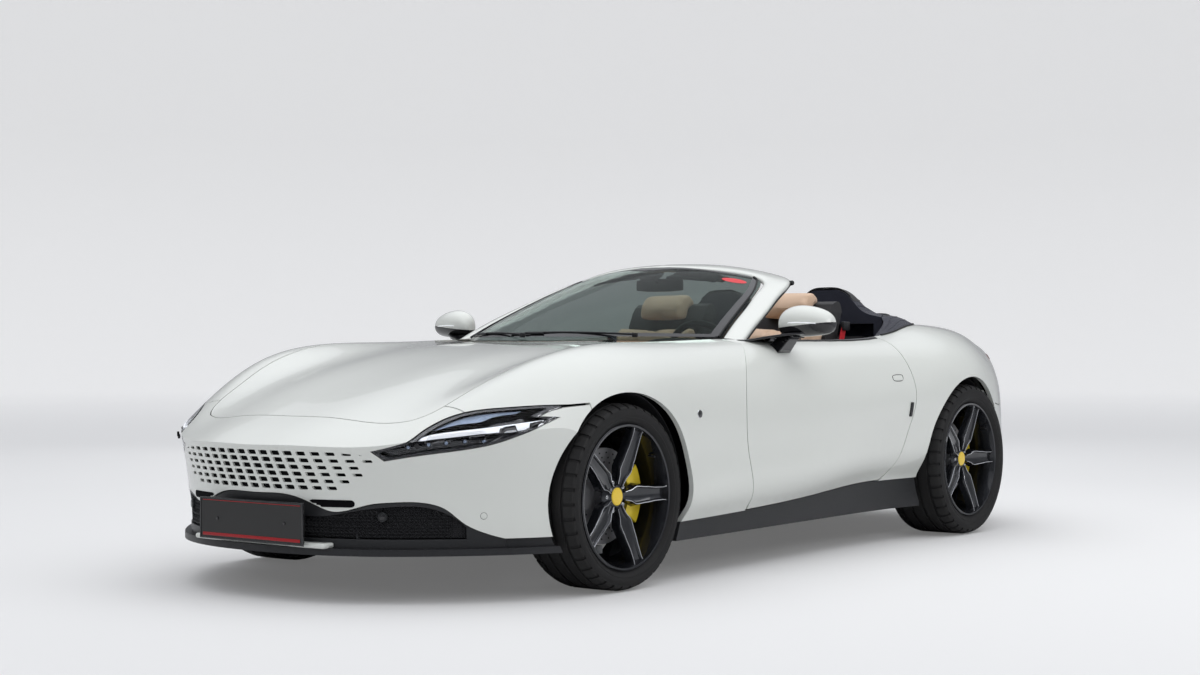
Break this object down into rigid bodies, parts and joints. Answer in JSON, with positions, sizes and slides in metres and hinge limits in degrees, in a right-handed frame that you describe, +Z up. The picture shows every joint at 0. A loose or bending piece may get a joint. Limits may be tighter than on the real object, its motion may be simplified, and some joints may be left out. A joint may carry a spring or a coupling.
{
  "type": "grand tourer",
  "caption": "Open-top 2+2 grand tourer with a long bonnet, slotted grille, slim lamps, opening doors and lids, and steered wheels that roll.",
  "frame": {"origin": "on the ground, under the middle of the car's length and width", "axes": "+X to the car's left, +Y to its tail (the nose points to -Y), +Z up"},
  "size_m": [2.156, 4.6603, 1.2564],
  "materials": {
    "pearl_paint": "gloss pearl white lacquer",
    "black_trim": "satin",
    "dark_mesh": "satin",
    "lamp_black": "gloss",
    "lamp_clear": "clear",
    "lamp_red": "gloss",
    "plate_black": "satin",
    "tyre": "matt rubber",
    "rim_dark": "satin, machined edges",
    "disc_steel": "turned",
    "caliper_yellow": "gloss",
    "cast_alloy": "as cast",
    "structure": "satin",
    "exhaust": "polished",
    "screen_glass": "clear",
    "cover_dark": "woven",
    "dash_leather": "grained",
    "seat_tan": "grained",
    "seat_black": "grained"
  },
  "bodies": {
    "root": {"front_bumper": "pearl_paint", "grille": "pearl_paint", "headlamp_lenses": "lamp_clear", "headlamps": "lamp_black", "front_wings": "pearl_paint", "rear_quarters": "pearl_paint", "rear_bumper": "pearl_paint", "tail_lamps": "lamp_red", "front_splitter": "black_trim", "number_plate": "plate_black", "intake_mesh": "dark_mesh", "side_sills": "black_trim", "rear_diffuser": "black_trim", "exhaust_tips": "exhaust", "caliper_rear_left": "caliper_yellow", "caliper_rear_right": "caliper_yellow", "rear_axle": "cast_alloy", "front_arms": "cast_alloy", "body_structure": "structure", "floor_pan": "structure", "centre_tunnel": "structure", "front_frame": "structure", "rear_frame": "structure", "rear_bulkhead": "structure", "door_hinge_posts": "structure", "arch_liners": "black_trim", "engine": "cast_alloy", "windscreen_frame": "pearl_paint", "windscreen_glass": "screen_glass", "cowl_panel": "black_trim", "tonneau_cover": "cover_dark", "dashboard": "dash_leather", "centre_console": "dash_leather", "front_seats": "seat_black", "front_seat_pads": "seat_tan", "rear_seats": "seat_black"},
    "bonnet": {"bonnet": "pearl_paint"},
    "boot_lid": {"boot_lid": "pearl_paint"},
    "door_left": {"door_left": "pearl_paint", "mirror_left": "pearl_paint"},
    "door_right": {"door_right": "pearl_paint", "mirror_right": "pearl_paint"},
    "steer_left": {"knuckle_left": "cast_alloy", "caliper_front_left": "caliper_yellow"},
    "steer_right": {"knuckle_right": "cast_alloy", "caliper_front_right": "caliper_yellow"},
    "steering_wheel": {"steering_wheel": "dash_leather"},
    "wheel_front_left": {"front_left_tyre": "tyre", "front_left_rim": "rim_dark", "front_left_disc": "disc_steel"},
    "wheel_front_right": {"front_right_tyre": "tyre", "front_right_rim": "rim_dark", "front_right_disc": "disc_steel"},
    "wheel_rear_left": {"rear_left_tyre": "tyre", "rear_left_rim": "rim_dark", "rear_left_disc": "disc_steel"},
    "wheel_rear_right": {"rear_right_tyre": "tyre", "rear_right_rim": "rim_dark", "rear_right_disc": "disc_steel"}
  },
  "joints": [
    {"name": "steer_left", "type": "hinge", "parent": "root", "child": "steer_left", "pos_m": [0.8, -1.368, 0.339], "axis": [0, 0, 1], "range_deg": [-35, 35]},
    {"name": "steer_right", "type": "hinge", "parent": "root", "child": "steer_right", "pos_m": [-0.8, -1.368, 0.339], "axis": [0, 0, 1], "range_deg": [-35, 35]},
    {"name": "spin_front_left", "type": "hinge", "parent": "steer_left", "child": "wheel_front_left", "pos_m": [0.826, -1.368, 0.339], "axis": [1, 0, 0], "continuous": true},
    {"name": "spin_front_right", "type": "hinge", "parent": "steer_right", "child": "wheel_front_right", "pos_m": [-0.826, -1.368, 0.339], "axis": [1, 0, 0], "continuous": true},
    {"name": "spin_rear_left", "type": "hinge", "parent": "root", "child": "wheel_rear_left", "pos_m": [0.8395, 1.302, 0.352], "axis": [1, 0, 0], "continuous": true},
    {"name": "spin_rear_right", "type": "hinge", "parent": "root", "child": "wheel_rear_right", "pos_m": [-0.8395, 1.302, 0.352], "axis": [1, 0, 0], "continuous": true},
    {"name": "steering_wheel_turn", "type": "hinge", "parent": "root", "child": "steering_wheel", "pos_m": [0.348, 0.004, 0.815], "axis": [0, 0.9272, 0.3746], "range_deg": [-425, 425]},
    {"name": "door_left_swing", "type": "hinge", "parent": "root", "child": "door_left", "pos_m": [0.935, -0.506, 0.56], "axis": [0, 0, -1], "range_deg": [0, 62]},
    {"name": "door_right_swing", "type": "hinge", "parent": "root", "child": "door_right", "pos_m": [-0.935, -0.506, 0.56], "axis": [0, 0, 1], "range_deg": [0, 62]},
    {"name": "bonnet_lift", "type": "hinge", "parent": "root", "child": "bonnet", "pos_m": [0, -2.248, 0.59], "axis": [1, 0, 0], "range_deg": [0, 50]},
    {"name": "boot_lift", "type": "hinge", "parent": "root", "child": "boot_lid", "pos_m": [0, 1.397, 0.984], "axis": [1, 0, 0], "range_deg": [0, 60]}
  ],
  "couplings": [
    {"joint": "steer_right", "follows": "steer_left", "ratio": 1},
    {"joint": "steering_wheel_turn", "follows": "steer_left", "ratio": 12}
  ]
}
